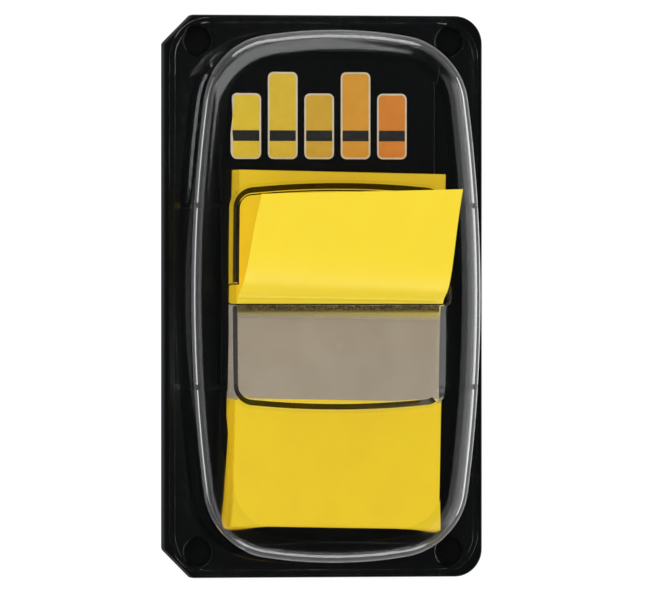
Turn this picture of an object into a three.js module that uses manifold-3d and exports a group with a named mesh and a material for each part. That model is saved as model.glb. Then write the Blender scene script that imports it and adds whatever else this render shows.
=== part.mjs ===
// A pop-up dispenser for film index flags, lying on its back as it does on a desk.
// A clear moulded cover with a dome stands on a black moulded base. A pad of flags lies on the
// base's pedestal and slides under the dome, between four guide ribs. The leading flag comes up
// through the slot and curls over the window, ready to be pulled.
// Millimetres, +Z up, +Y towards the top end, origin at the middle of the base's back.

import * as THREE from 'three';
import { mergeVertices } from 'three/addons/utils/BufferGeometryUtils.js';
import Module from 'manifold-3d';

const wasm = await Module();
wasm.setup();

// Flags and their pad
const FLAG_WIDTH = 25.6;
const FLAG_LENGTH = 43.2;
const FILM = 0.2;
const PAD_THICKNESS = 4.4;
const LEAF_THICKNESS = 0.55;
const LEAF_FAN = 0.12;
const PAD_SHIFT_X = 0.4;
const PAD_SHIFT_Y = -6.5;
const PAD_TURN = 1.15;

// How the leading flag bends out of the slot and curls, with its angles in degrees
const BEND_RADIUS = 2;
const BEND_SETBACK = 0.75;
const FILM_CLEARANCE = 0.25;
const TIP_PITCH = 7;
const PITCH_EASE = 3.4; // the higher it is, the sooner the film flattens out past the slot
const TIP_HEADING = 9.5;
const TIP_ROLL = 5;
const TIP_SKEW = 2.6;

// Base
const BASE_PLATE = 2;
const BASE_MARGIN = 0.6;
const BASE_END_MARGIN = 0.3;
const BASE_CHAMFER = 3.5;
const BASE_CORNER = 3.4;
const PEDESTAL_HEIGHT = 2;
const PEDESTAL_CORNER = 2.5;
const PEDESTAL_GAP = 0.45;
const PEDESTAL_END_GAP = 2.2;

// Cover
const WALL = 0.9;
const FLANGE_THICKNESS = 0.6;
const FLANGE_MARGIN = 0.82;
const FLANGE_END_MARGIN = 1.24;
const FLANGE_CORNER = 5;
const LIP_WIDTH = 0.65;
const LIP_DROP = 0.2;
const SIDE_SPACE = 3.72;
const END_SPACE = 10.25;
const DOME_SIDE_RADIUS = 183;
const DOME_END_RADIUS = 58;
const DOME_CORNER = 9.5;
const DRAFT = 4;
const SHOULDER_RUN = 3.8;
const SHOULDER_RISE = 2.4;

// Recessed panel, window and slot in the crown
const PANEL_CLEARANCE = 0.55;
const RECESS_DEPTH = 0.7;
const RECESS_SLOPE = 0.8;
const RECESS_HALF_LENGTH = 13.8;
const RECESS_SIDE_RADIUS = 600;
const RECESS_END_RADIUS = 110;
const RECESS_CORNER = 2.6;
const RECESS_MARGIN = 0.52;
const WINDOW_LEDGE = 0.25;
const SLOT_LIP_Y = -0.9;
const SLOT_TOP_Y = 1.4;
const SLOT_CORNER = 0.5;
const SLOT_CLEARANCE = 0.32;
const GATE_RADIUS = 0.5;
const GATE_HEIGHT = 0.2;
const GATE_Y = -6;

// Guide ribs and corner pegs
const PAD_CLEARANCE = 0.17;
const RIB_THICKNESS = 0.65;
const RIB_Y = 11;
const RIB_FOOT_GAP = 0.4;
const PEG_RADIUS = 1.6;
const PEG_LENGTH = 1.3;
const PEG_CLEARANCE = 0.3;
const PEG_RING_RADIUS = 2;
const PEG_RING_HEIGHT = 0.25;
const PEG_INSET_X = 3.56;
const PEG_INSET_Y = 2.84;

const DEGREE = Math.PI / 180;

// Places worked out from the sizes above
const PAD_HALF_WIDTH = (FLAG_WIDTH + LEAF_FAN) / 2;
const PAD_SWING = (FLAG_LENGTH / 2) * Math.sin(PAD_TURN * DEGREE);
const CHAMBER_HALF_WIDTH = PAD_HALF_WIDTH + PAD_SHIFT_X + PAD_SWING + PAD_CLEARANCE;
const DOME_HALF_WIDTH = CHAMBER_HALF_WIDTH + SIDE_SPACE + WALL;
const DOME_HALF_LENGTH = FLAG_LENGTH / 2 + END_SPACE + WALL;
const FLANGE_HALF_WIDTH = DOME_HALF_WIDTH + FLANGE_MARGIN;
const FLANGE_HALF_LENGTH = DOME_HALF_LENGTH + FLANGE_END_MARGIN;
const BASE_HALF_WIDTH = FLANGE_HALF_WIDTH + BASE_MARGIN;
const BASE_HALF_LENGTH = FLANGE_HALF_LENGTH + BASE_END_MARGIN;
const PEDESTAL_HALF_WIDTH = CHAMBER_HALF_WIDTH - PEDESTAL_GAP;
const PEDESTAL_HALF_LENGTH = DOME_HALF_LENGTH - WALL - PEDESTAL_END_GAP;
const PEG_X = FLANGE_HALF_WIDTH - PEG_INSET_X;
const PEG_Y = FLANGE_HALF_LENGTH - PEG_INSET_Y;
const RECESS_HALF_WIDTH = CHAMBER_HALF_WIDTH - RECESS_MARGIN;
const RECESS_SIDE_WALL = (WALL * Math.hypot(RECESS_DEPTH, RECESS_SLOPE)) / RECESS_DEPTH;
const FLAG_SWING = -PAD_SHIFT_Y * Math.sin(PAD_TURN * DEGREE);
const SLOT_HALF_WIDTH = FLAG_WIDTH / 2 + PAD_SHIFT_X + FLAG_SWING + SLOT_CLEARANCE;

const PEDESTAL_TOP = BASE_PLATE + PEDESTAL_HEIGHT;
const PAD_TOP = PEDESTAL_TOP + PAD_THICKNESS;
const PANEL_UNDERSIDE = PAD_TOP + FILM + PANEL_CLEARANCE;
const PANEL_TOP = PANEL_UNDERSIDE + WALL;
const CROWN = PANEL_TOP + RECESS_DEPTH;
const FLANGE_TOP = BASE_PLATE + FLANGE_THICKNESS;
const CEILING = CROWN - WALL;

const PAST = 1; // how far a cutting solid runs past the face that it cuts
const ROUND_SEGMENTS = 24;

// Points of an arc from one angle to another, with the last one left out.
function arc(x, y, radius, from, to, segments) {
  const points = [];
  for (let i = 0; i < segments; i += 1) {
    const angle = from + ((to - from) * i) / segments;
    points.push(new THREE.Vector2(x + radius * Math.cos(angle), y + radius * Math.sin(angle)));
  }
  return points;
}

// A rectangle whose four sides are long arcs, joined by corner arcs that meet them smoothly.
// An inset moves the whole outline inwards by the same distance all round.
function bowedOutline(form, inset = 0) {
  const { halfWidth, halfLength, sideRadius, endRadius, corner, segments } = form;
  const sideX = halfWidth - sideRadius;
  const endY = halfLength - endRadius;
  const toSide = sideRadius - corner;
  const toEnd = endRadius - corner;
  const apart = Math.hypot(sideX, endY);
  const along = (apart ** 2 + toSide ** 2 - toEnd ** 2) / (2 * apart);
  const across = Math.sqrt(toSide ** 2 - along ** 2);
  const unit = new THREE.Vector2(-sideX / apart, endY / apart);
  const cornerX = sideX + along * unit.x - across * unit.y;
  const cornerY = along * unit.y + across * unit.x;
  const low = Math.atan2(cornerY, cornerX - sideX);
  const high = Math.atan2(cornerY - endY, cornerX);
  const half = [
    ...arc(sideX, 0, sideRadius - inset, -low, low, segments.side),
    ...arc(cornerX, cornerY, corner - inset, low, high, segments.round),
    ...arc(0, endY, endRadius - inset, high, Math.PI - high, segments.end),
    ...arc(-cornerX, cornerY, corner - inset, Math.PI - high, Math.PI - low, segments.round),
  ];
  return [...half, ...half.map((p) => new THREE.Vector2(-p.x, -p.y))];
}

// A rectangle with round corners, its middle at x, y.
function roundedRectangle(halfWidth, halfLength, corner, x = 0, y = 0, segments = 6) {
  const right = x + halfWidth - corner;
  const left = x - halfWidth + corner;
  const top = y + halfLength - corner;
  const bottom = y - halfLength + corner;
  const quarter = Math.PI / 2;
  return [
    [right, top, 0],
    [left, top, 1],
    [left, bottom, 2],
    [right, bottom, 3],
  ].flatMap(([cx, cy, turn]) => {
    const end = new THREE.Vector2(
      cx + corner * Math.cos((turn + 1) * quarter),
      cy + corner * Math.sin((turn + 1) * quarter),
    );
    return [...arc(cx, cy, corner, turn * quarter, (turn + 1) * quarter, segments), end];
  });
}

// A closed body skinned over rings of equally many points, from the lowest ring to the highest.
function skin(rings) {
  const count = rings[0].points.length;
  const positions = [];
  for (const ring of rings) {
    for (const p of ring.points) {
      positions.push(p.x, p.y, ring.z);
    }
  }
  const faces = [];
  for (let r = 0; r + 1 < rings.length; r += 1) {
    for (let i = 0; i < count; i += 1) {
      const next = (i + 1) % count;
      const a = r * count + i;
      const b = r * count + next;
      faces.push(a, b, b + count, a, b + count, a + count);
    }
  }
  const lowest = THREE.ShapeUtils.triangulateShape(rings[0].points, []);
  const highest = THREE.ShapeUtils.triangulateShape(rings[rings.length - 1].points, []);
  const lastRing = (rings.length - 1) * count;
  lowest.forEach(([a, b, c]) => faces.push(a, c, b));
  highest.forEach(([a, b, c]) => faces.push(lastRing + a, lastRing + b, lastRing + c));
  const geometry = new THREE.BufferGeometry();
  geometry.setAttribute('position', new THREE.Float32BufferAttribute(positions, 3));
  geometry.setIndex(faces);
  return geometry;
}

// An outline raised straight from one height to another.
function prism(points, low, high) {
  const shape = new THREE.Shape(points);
  const geometry = new THREE.ExtrudeGeometry(shape, { depth: high - low, bevelEnabled: false });
  return geometry.translate(0, 0, low);
}

// An upright round rod, its axis at x, y.
function rod(radius, x, y, low, high) {
  const geometry = new THREE.CylinderGeometry(radius, radius, high - low, ROUND_SEGMENTS);
  geometry.rotateX(Math.PI / 2);
  return geometry.translate(x, y, (low + high) / 2);
}

// The geometry as a solid that can be joined and cut.
function solid(geometry) {
  const bare = geometry.clone();
  bare.deleteAttribute('normal');
  bare.deleteAttribute('uv');
  const merged = mergeVertices(bare, 1e-5);
  return new wasm.Manifold(new wasm.Mesh({
    numProp: 3,
    vertProperties: new Float32Array(merged.attributes.position.array),
    triVerts: new Uint32Array(merged.index.array),
  }));
}

function join(geometries) {
  return geometries.map(solid).reduce((whole, piece) => whole.add(piece));
}

function toGeometry(body) {
  const mesh = body.getMesh();
  const geometry = new THREE.BufferGeometry();
  geometry.setAttribute('position', new THREE.BufferAttribute(mesh.vertProperties, 3));
  geometry.setIndex(new THREE.BufferAttribute(mesh.triVerts, 1));
  geometry.computeVertexNormals();
  return geometry;
}

// The four corners, as signs of x and y.
const CORNERS = [[1, 1], [-1, 1], [-1, -1], [1, -1]];

// Base: a black plate with two clipped and two round corners, the pedestal that the pad slides
// on, and a blind socket in each corner for the cover's pegs.
function makeBase() {
  const x = BASE_HALF_WIDTH;
  const y = BASE_HALF_LENGTH;
  const rounded = roundedRectangle(x, y, BASE_CORNER);
  const rightSide = rounded.filter((p) => p.x > 0);
  const topEnd = rightSide.filter((p) => p.y > 0);
  const bottomEnd = rightSide.filter((p) => p.y < 0);
  const outline = [
    ...topEnd,
    new THREE.Vector2(-x + BASE_CHAMFER, y),
    new THREE.Vector2(-x, y - BASE_CHAMFER),
    new THREE.Vector2(-x, -y + BASE_CHAMFER),
    new THREE.Vector2(-x + BASE_CHAMFER, -y),
    ...bottomEnd,
  ];
  const pedestal = roundedRectangle(PEDESTAL_HALF_WIDTH, PEDESTAL_HALF_LENGTH, PEDESTAL_CORNER);
  const body = join([prism(outline, 0, BASE_PLATE), prism(pedestal, BASE_PLATE - PAST, PEDESTAL_TOP)]);
  const socketFloor = BASE_PLATE - PEG_LENGTH - PEG_CLEARANCE;
  const sockets = join(CORNERS.map(([sx, sy]) => (
    rod(PEG_RADIUS + PEG_CLEARANCE, sx * PEG_X, sy * PEG_Y, socketFloor, BASE_PLATE + PAST)
  )));
  return toGeometry(body.subtract(sockets));
}

// The dome's outline at its foot. Every other section of the dome is this one moved inwards.
const DOME_FOOT = {
  halfWidth: DOME_HALF_WIDTH,
  halfLength: DOME_HALF_LENGTH,
  sideRadius: DOME_SIDE_RADIUS,
  endRadius: DOME_END_RADIUS,
  corner: DOME_CORNER,
  segments: { side: 14, round: 10, end: 8 },
};

// Rings of the dome's skin: the drafted wall, then the shoulder, a quarter ellipse up to the crown.
// The inner skin lies one wall inside the outer one.
function domeRings(wall, low) {
  const draft = DRAFT * DEGREE;
  const run = SHOULDER_RUN - wall;
  const rise = SHOULDER_RISE - wall;
  const centreZ = CROWN - SHOULDER_RISE;
  const wallInset = (z) => (z - FLANGE_TOP) * Math.tan(draft) + wall / Math.cos(draft);
  const start = Math.atan2(rise * Math.tan(draft), run);
  const wallTop = centreZ + rise * Math.sin(start);
  const centreInset = wallInset(wallTop) + run * Math.cos(start);
  const rings = [{ inset: wallInset(low), z: low }];
  const steps = 8;
  for (let i = 0; i <= steps; i += 1) {
    const angle = start + ((Math.PI / 2 - start) * i) / steps;
    rings.push({
      inset: centreInset - run * Math.cos(angle),
      z: centreZ + rise * Math.sin(angle),
    });
  }
  return rings.map(({ inset, z }) => ({ points: bowedOutline(DOME_FOOT, inset), z }));
}

// The recess across the crown: sloping sides down to the level of the thumb panel.
const RECESS = {
  halfWidth: RECESS_HALF_WIDTH,
  halfLength: RECESS_HALF_LENGTH,
  sideRadius: RECESS_SIDE_RADIUS,
  endRadius: RECESS_END_RADIUS,
  corner: RECESS_CORNER,
  segments: { side: 2, round: 6, end: 8 },
};

function recessBody(outset, low) {
  const slope = RECESS_SLOPE / RECESS_DEPTH;
  const inset = (z) => slope * (CROWN - z) - outset;
  return skin([
    { points: bowedOutline(RECESS, inset(low)), z: low },
    { points: bowedOutline(RECESS, inset(CROWN + RECESS_DEPTH)), z: CROWN + RECESS_DEPTH },
  ]);
}

// Guide rib: an upright fin from the dome's wall in to the pad, its inner end round.
function ribBody(sideX, sideY) {
  const inner = CHAMBER_HALF_WIDTH;
  const outer = DOME_HALF_WIDTH;
  const round = RIB_THICKNESS * 0.49;
  const middle = (sideX * (outer + inner)) / 2;
  const halfLong = (outer - inner) / 2;
  const outline = roundedRectangle(halfLong, RIB_THICKNESS / 2, round, middle, sideY * RIB_Y, 3);
  return prism(outline, BASE_PLATE + RIB_FOOT_GAP, CEILING + WALL / 2);
}

// Flange: a flat rim that lies on the base, its edge stepped down to a thin lip.
function flangeBody() {
  const x = FLANGE_HALF_WIDTH;
  const y = FLANGE_HALF_LENGTH;
  const inner = roundedRectangle(x - LIP_WIDTH, y - LIP_WIDTH, FLANGE_CORNER - LIP_WIDTH);
  return join([
    prism(roundedRectangle(x, y, FLANGE_CORNER), BASE_PLATE, FLANGE_TOP - LIP_DROP),
    prism(inner, BASE_PLATE, FLANGE_TOP),
  ]);
}

// Window and slot: the recess is cut through above the slot's lip, but for a narrow ledge, and
// the slot itself is wider than the flag, so that a flag comes through it freely.
function openingBody() {
  const low = PANEL_UNDERSIDE - PAST;
  const high = CROWN + PAST;
  const upright = (halfLength) => (
    prism(
      roundedRectangle(SLOT_HALF_WIDTH, halfLength, SLOT_CORNER, 0, SLOT_LIP_Y + halfLength),
      low,
      high,
    )
  );
  const inLedge = solid(prism(bowedOutline(RECESS, RECESS_SLOPE + WINDOW_LEDGE), low, high));
  const window = inLedge.intersect(solid(upright(RECESS_HALF_LENGTH)));
  return window.add(solid(upright((SLOT_TOP_Y - SLOT_LIP_Y) / 2)));
}

// Pegs: a round pin under each corner of the flange, and the low round pad above it.
function pegBody() {
  return join(CORNERS.flatMap(([sx, sy]) => {
    const x = sx * PEG_X;
    const y = sy * PEG_Y;
    return [
      rod(PEG_RADIUS, x, y, BASE_PLATE - PEG_LENGTH, FLANGE_TOP),
      rod(PEG_RING_RADIUS, x, y, BASE_PLATE, FLANGE_TOP + PEG_RING_HEIGHT),
    ];
  }));
}

// Cover: one clear moulding. Flange, dome, recessed thumb panel with its gate mark, window, slot,
// guide ribs and the pegs that hold it in the base.
function makeCover() {
  const domeOuter = solid(skin(domeRings(0, BASE_PLATE)));
  const panel = solid(recessBody(RECESS_SIDE_WALL, PANEL_UNDERSIDE));
  const cavity = solid(skin(domeRings(WALL, BASE_PLATE - PAST))).subtract(panel);
  const ribs = join(CORNERS.map(([sx, sy]) => ribBody(sx, sy))).intersect(domeOuter);
  const gate = rod(GATE_RADIUS, 0, GATE_Y, PANEL_TOP - WALL / 2, PANEL_TOP + GATE_HEIGHT);
  const body = flangeBody()
    .add(domeOuter)
    .subtract(cavity)
    .add(ribs)
    .subtract(solid(recessBody(0, PANEL_TOP)))
    .subtract(openingBody())
    .add(solid(gate))
    .add(pegBody());
  return toGeometry(body);
}

// Pad: the stack of flags as one body, in groups of leaves slightly out of line with each other.
function makePad() {
  const count = Math.round(PAD_THICKNESS / LEAF_THICKNESS);
  const leaf = PAD_THICKNESS / count;
  const turnPerLeaf = 2.4; // radians, so that no two neighbours lie alike
  const leaves = [];
  for (let i = 0; i < count; i += 1) {
    const shiftX = (LEAF_FAN / 2) * Math.cos(turnPerLeaf * i);
    const shiftY = (LEAF_FAN / 2) * Math.sin(turnPerLeaf * i);
    const box = new THREE.BoxGeometry(FLAG_WIDTH, FLAG_LENGTH - LEAF_FAN, leaf);
    leaves.push(box.translate(shiftX, shiftY, leaf * (i + 0.5)));
  }
  return toGeometry(join(leaves));
}

// The pitch at which film that bends round a radius just clears the slot's far edge at the crown.
function pitchThroughSlot() {
  const swing = PAD_HALF_WIDTH * Math.sin(PAD_TURN * DEGREE);
  const room = BEND_SETBACK + SLOT_TOP_Y - SLOT_LIP_Y - swing - FILM_CLEARANCE;
  const climb = CROWN - PAD_TOP + FILM - BEND_RADIUS;
  return Math.asin(BEND_RADIUS / Math.hypot(room, climb)) + Math.atan2(climb, room);
}

// Places down the leading flag's middle line. It lies flat on the pad, bends up round a small
// radius below the slot, runs straight to the crown and then flattens out to its tip.
function leadingLine() {
  const startPitch = pitchThroughSlot();
  const tipPitch = TIP_PITCH * DEGREE;
  const flatLength = FLAG_LENGTH / 2 - PAD_SHIFT_Y + SLOT_LIP_Y - BEND_SETBACK;
  const bendLength = BEND_RADIUS * startPitch;
  const bendRise = BEND_RADIUS * (1 - Math.cos(startPitch));
  const straightLength = (CROWN - PAD_TOP - bendRise) / Math.sin(startPitch);
  const freeLength = FLAG_LENGTH - flatLength - bendLength - straightLength;
  const bendSteps = 8;
  const freeSteps = 12;
  const steps = [{ length: flatLength, pitch: 0, free: 0 }];
  for (let i = 0; i < bendSteps; i += 1) {
    const pitch = (startPitch * (i + 0.5)) / bendSteps;
    steps.push({ length: bendLength / bendSteps, pitch, free: 0 });
  }
  steps.push({ length: straightLength, pitch: startPitch, free: 0 });
  for (let i = 0; i < freeSteps; i += 1) {
    const free = (i + 0.5) / freeSteps;
    const pitch = tipPitch + (startPitch - tipPitch) * (1 - free) ** PITCH_EASE;
    steps.push({ length: freeLength / freeSteps, pitch, free });
  }
  const point = new THREE.Vector3(0, -FLAG_LENGTH / 2, FILM / 2);
  const line = [{ point: point.clone(), pitch: 0, free: 0 }];
  for (const { length, pitch, free } of steps) {
    const heading = TIP_HEADING * free * DEGREE;
    point.x += length * Math.cos(pitch) * Math.sin(heading);
    point.y += length * Math.cos(pitch) * Math.cos(heading);
    point.z += length * Math.sin(pitch);
    line.push({ point: point.clone(), pitch, free });
  }
  return line;
}

// Leading flag: one flag of clear film with a coloured tip, curled and slightly twisted.
function makeLeadingFlag() {
  const line = leadingLine();
  const across = 8;
  const upper = [];
  const lower = [];
  for (const { point, pitch, free } of line) {
    const roll = TIP_ROLL * free * DEGREE;
    const skew = TIP_SKEW * free * DEGREE;
    const side = new THREE.Vector3(Math.cos(skew), Math.sin(skew), -Math.tan(roll)).normalize();
    const ahead = new THREE.Vector3(0, Math.cos(pitch), Math.sin(pitch));
    const normal = new THREE.Vector3().crossVectors(side, ahead).normalize();
    for (let i = 0; i <= across; i += 1) {
      const middle = point.clone().addScaledVector(side, FLAG_WIDTH * (i / across - 0.5));
      upper.push(middle.clone().addScaledVector(normal, FILM / 2));
      lower.push(middle.clone().addScaledVector(normal, -FILM / 2));
    }
  }
  const row = across + 1;
  const under = upper.length;
  const faces = [];
  const quad = (a, b, c, d) => faces.push(a, b, c, a, c, d);
  for (let r = 0; r + 1 < line.length; r += 1) {
    for (let i = 0; i < across; i += 1) {
      const a = r * row + i;
      quad(a, a + 1, a + 1 + row, a + row);
      quad(under + a, under + a + row, under + a + 1 + row, under + a + 1);
    }
    const left = r * row;
    const right = left + across;
    quad(left, left + row, under + left + row, under + left);
    quad(right, under + right, under + right + row, right + row);
  }
  const last = (line.length - 1) * row;
  for (let i = 0; i < across; i += 1) {
    quad(i, under + i, under + i + 1, i + 1);
    quad(last + i, last + i + 1, under + last + i + 1, under + last + i);
  }
  const geometry = new THREE.BufferGeometry();
  const points = [...upper, ...lower].flatMap((p) => [p.x, p.y, p.z]);
  geometry.setAttribute('position', new THREE.Float32BufferAttribute(points, 3));
  geometry.setIndex(faces);
  geometry.computeVertexNormals();
  return geometry;
}

function plastic(color, roughness, opacity = 1) {
  return new THREE.MeshStandardMaterial({
    color,
    roughness,
    metalness: 0,
    opacity,
    transparent: opacity < 1,
  });
}

function named(name, geometry, material) {
  const mesh = new THREE.Mesh(geometry, material);
  mesh.name = name;
  return mesh;
}

const dispenser = new THREE.Group();
dispenser.add(named('base', makeBase(), plastic(0x0b0c0d, 0.35)));
dispenser.add(named('cover', makeCover(), plastic(0xdfe3e6, 0.08, 0.3)));

const stack = new THREE.Group();
stack.position.set(PAD_SHIFT_X, PAD_SHIFT_Y, PEDESTAL_TOP);
stack.rotation.z = -PAD_TURN * DEGREE;
stack.add(named('flag_pad', makePad(), plastic(0xe8c22a, 0.5)));
const leadingFlag = named('leading_flag', makeLeadingFlag(), plastic(0xf5de3c, 0.4));
leadingFlag.position.z = PAD_THICKNESS;
stack.add(leadingFlag);
dispenser.add(stack);

export default dispenser;
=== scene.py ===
import math
import random

import bpy
from mathutils import Matrix, Vector


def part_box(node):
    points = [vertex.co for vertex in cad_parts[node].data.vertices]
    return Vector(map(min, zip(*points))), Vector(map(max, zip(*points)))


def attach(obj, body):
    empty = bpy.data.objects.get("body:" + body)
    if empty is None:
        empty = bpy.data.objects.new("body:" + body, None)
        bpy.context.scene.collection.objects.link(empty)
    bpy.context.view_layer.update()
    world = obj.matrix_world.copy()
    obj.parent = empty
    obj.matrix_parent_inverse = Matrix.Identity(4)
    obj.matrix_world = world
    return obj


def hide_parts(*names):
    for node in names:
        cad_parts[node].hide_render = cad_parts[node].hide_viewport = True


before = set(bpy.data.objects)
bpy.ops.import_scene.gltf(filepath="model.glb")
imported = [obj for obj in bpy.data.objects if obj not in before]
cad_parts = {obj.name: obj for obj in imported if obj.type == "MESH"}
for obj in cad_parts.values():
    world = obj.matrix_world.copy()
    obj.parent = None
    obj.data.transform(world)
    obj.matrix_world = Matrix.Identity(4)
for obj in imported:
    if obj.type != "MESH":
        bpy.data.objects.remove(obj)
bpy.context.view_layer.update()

MM = 0.001


# Camera
# The dispenser lies on its back and is looked at from almost straight above, through a long lens
# that leans a little over its left side.
IMAGE_WIDTH = 660
IMAGE_HEIGHT = 590
VIEW_SLANT = math.radians(13)
LENS = 600
SENSOR_WIDTH = 36
PIXELS_PER_MM = 8.215
TARGET_HEIGHT = 5
TARGET_PIXEL_X = 329.2
TARGET_PIXEL_Y = 296.3

view_right = Vector((math.cos(VIEW_SLANT), 0, math.sin(VIEW_SLANT)))
view_up = Vector((0, 1, 0))
view_back = Vector((-math.sin(VIEW_SLANT), 0, math.cos(VIEW_SLANT)))
view_distance = IMAGE_WIDTH * LENS / SENSOR_WIDTH / PIXELS_PER_MM
aim = Vector((0, 0, TARGET_HEIGHT))
aim += view_right * (IMAGE_WIDTH / 2 - TARGET_PIXEL_X) / PIXELS_PER_MM
aim += view_up * (TARGET_PIXEL_Y - IMAGE_HEIGHT / 2) / PIXELS_PER_MM

camera_data = bpy.data.cameras.new("camera")
camera_data.lens = LENS
camera_data.sensor_width = SENSOR_WIDTH
camera = bpy.data.objects.new("camera", camera_data)
turned = Matrix((view_right, view_up, view_back)).transposed().to_4x4()
camera.matrix_world = Matrix.Translation((aim + view_back * view_distance) * MM) @ turned
bpy.context.collection.objects.link(camera)
bpy.context.scene.camera = camera


# Black base
# One moulding of black polystyrene. The plate has two clipped and two round corners, and carries
# the pedestal that the pad slides on and a blind socket in each corner for the cover's pegs.
BASE_PLATE = 2.0
BASE_CHAMFER = 3.5
BASE_CORNER = 3.4
BASE_EDGE = 0.22
PEDESTAL_HALF_WIDTH = 13.41
PEDESTAL_HALF_LENGTH = 29.65
PEDESTAL_CORNER = 2.5
PEDESTAL_EDGE = 0.18
SOCKET_RADIUS = 1.9
SOCKET_DEPTH = 1.6
PEG_X = 15.74
PEG_Y = 31.15
CORNERS = [(1, 1), (-1, 1), (-1, -1), (1, -1)]
BLACK = (0.0034, 0.0038, 0.0040, 1)
BLACK_SCUFFED = (0.011, 0.012, 0.0125, 1)
GLOSSY_FACE, MATT_FACE = range(2)
UPRIGHT = 0.5

BASE_HALF_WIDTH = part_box("base")[1][0] / MM
BASE_HALF_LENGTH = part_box("base")[1][1] / MM
PEDESTAL_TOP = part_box("base")[1][2] / MM


def arc(x, y, radius, start, end, steps):
    """Points round an arc from one angle to another, both ends in."""
    angles = [start + (end - start) * i / steps for i in range(steps + 1)]
    return [(x + radius * math.cos(a), y + radius * math.sin(a)) for a in angles]


def round_rectangle(half_width, half_length, corner, x=0, y=0, steps=12):
    """A rectangle with round corners, its middle at x, y."""
    points = []
    for quarter, (side, end) in enumerate(CORNERS):
        start = quarter * math.pi / 2
        corner_x = x + side * (half_width - corner)
        corner_y = y + end * (half_length - corner)
        points += arc(corner_x, corner_y, corner, start, start + math.pi / 2, steps)
    return points


def body(points, faces):
    """A shape in millimetres, ready to be joined, cut and finished."""
    mesh = bpy.data.meshes.new("body")
    mesh.from_pydata(points, [], faces)
    shape = bpy.data.objects.new("body", mesh)
    bpy.context.collection.objects.link(shape)
    return shape


def skinned(rings):
    """A closed body over rings of equally many points, each with its height, lowest first."""
    count = len(rings[0][1])
    points = [(x, y, z) for z, outline in rings for x, y in outline]
    faces = [tuple(reversed(range(count)))]
    for ring in range(len(rings) - 1):
        for i in range(count):
            a = ring * count + i
            b = ring * count + (i + 1) % count
            faces.append((a, b, b + count, a + count))
    last = (len(rings) - 1) * count
    faces.append(tuple(range(last, last + count)))
    return body(points, faces)


def prism(outline, low, high):
    """An outline raised straight from one height to another."""
    return skinned([(low, outline), (high, outline)])


def set_shape(shape):
    """The shape's modifiers made into its own mesh."""
    graph = bpy.context.evaluated_depsgraph_get()
    mesh = bpy.data.meshes.new_from_object(shape.evaluated_get(graph))
    shape.modifiers.clear()
    shape.data = mesh
    return shape


def worked(shape, tool, operation):
    """The shape with the tool added to it, cut out of it or kept in common with it."""
    modifier = shape.modifiers.new(operation, "BOOLEAN")
    modifier.operation = operation
    modifier.solver = "MANIFOLD"
    modifier.object = tool
    set_shape(shape)
    bpy.data.objects.remove(tool)
    return shape


def rounded_edges(shape, radius, steps=3):
    """The shape with its sharp edges rounded."""
    modifier = shape.modifiers.new("edges", "BEVEL")
    modifier.width = radius
    modifier.segments = steps
    modifier.limit_method = "ANGLE"
    modifier.angle_limit = math.radians(40)
    return set_shape(shape)


def finished(name, shape, finish, sharp=32):
    """The shape as a piece of the dispenser: in metres, smooth between its edges, and finished."""
    shape.name = name
    mesh = shape.data
    mesh.name = name
    mesh.transform(Matrix.Scale(MM, 4))
    mesh.materials.clear()
    mesh.materials.append(finish)
    mesh.polygons.foreach_set("use_smooth", [True] * len(mesh.polygons))
    mesh.set_sharp_from_angle(angle=math.radians(sharp))
    even = shape.modifiers.new("even shading", "WEIGHTED_NORMAL")
    even.keep_sharp = True
    return shape


def new_finish(name):
    """A plain finish to build on: its material, its node tree and its shader."""
    material = bpy.data.materials.new(name)
    material.use_nodes = True
    tree = material.node_tree
    shader = tree.nodes["Principled BSDF"]
    return material, tree, shader


def texture(tree, stretch, detail=2.0, roughness=0.5):
    """Noise in the piece's own frame, its cells so many to the metre along X, Y and Z."""
    place = tree.nodes.new("ShaderNodeTexCoord")
    scale = tree.nodes.new("ShaderNodeMapping")
    scale.inputs["Scale"].default_value = stretch
    noise = tree.nodes.new("ShaderNodeTexNoise")
    noise.inputs["Scale"].default_value = 1.0
    noise.inputs["Detail"].default_value = detail
    noise.inputs["Roughness"].default_value = roughness
    tree.links.new(place.outputs["Object"], scale.inputs["Vector"])
    tree.links.new(scale.outputs["Vector"], noise.inputs["Vector"])
    return noise.outputs["Fac"]


def ranged(tree, value, low, high, to_low, to_high):
    """A value taken from one range into another, and held inside it."""
    node = tree.nodes.new("ShaderNodeMapRange")
    node.inputs["From Min"].default_value = low
    node.inputs["From Max"].default_value = high
    node.inputs["To Min"].default_value = to_low
    node.inputs["To Max"].default_value = to_high
    tree.links.new(value, node.inputs["Value"])
    return node.outputs["Result"]


def times(tree, a, b):
    """Two values multiplied."""
    node = tree.nodes.new("ShaderNodeMath")
    node.operation = "MULTIPLY"
    tree.links.new(a, node.inputs[0])
    tree.links.new(b, node.inputs[1])
    return node.outputs["Value"]


def between(tree, amount, colour_a, colour_b):
    """A colour between two, by an amount."""
    node = tree.nodes.new("ShaderNodeMix")
    node.data_type = "RGBA"
    node.inputs[6].default_value = colour_a
    node.inputs[7].default_value = colour_b
    tree.links.new(amount, node.inputs[0])
    return node.outputs[2]


def relief(tree, shader, height, depth, strength=1.0):
    """Fine relief of the given depth in metres, as a bump of the surface."""
    node = tree.nodes.new("ShaderNodeBump")
    node.inputs["Strength"].default_value = strength
    node.inputs["Distance"].default_value = depth
    tree.links.new(height, node.inputs["Height"])
    tree.links.new(node.outputs["Normal"], shader.inputs["Normal"])


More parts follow.
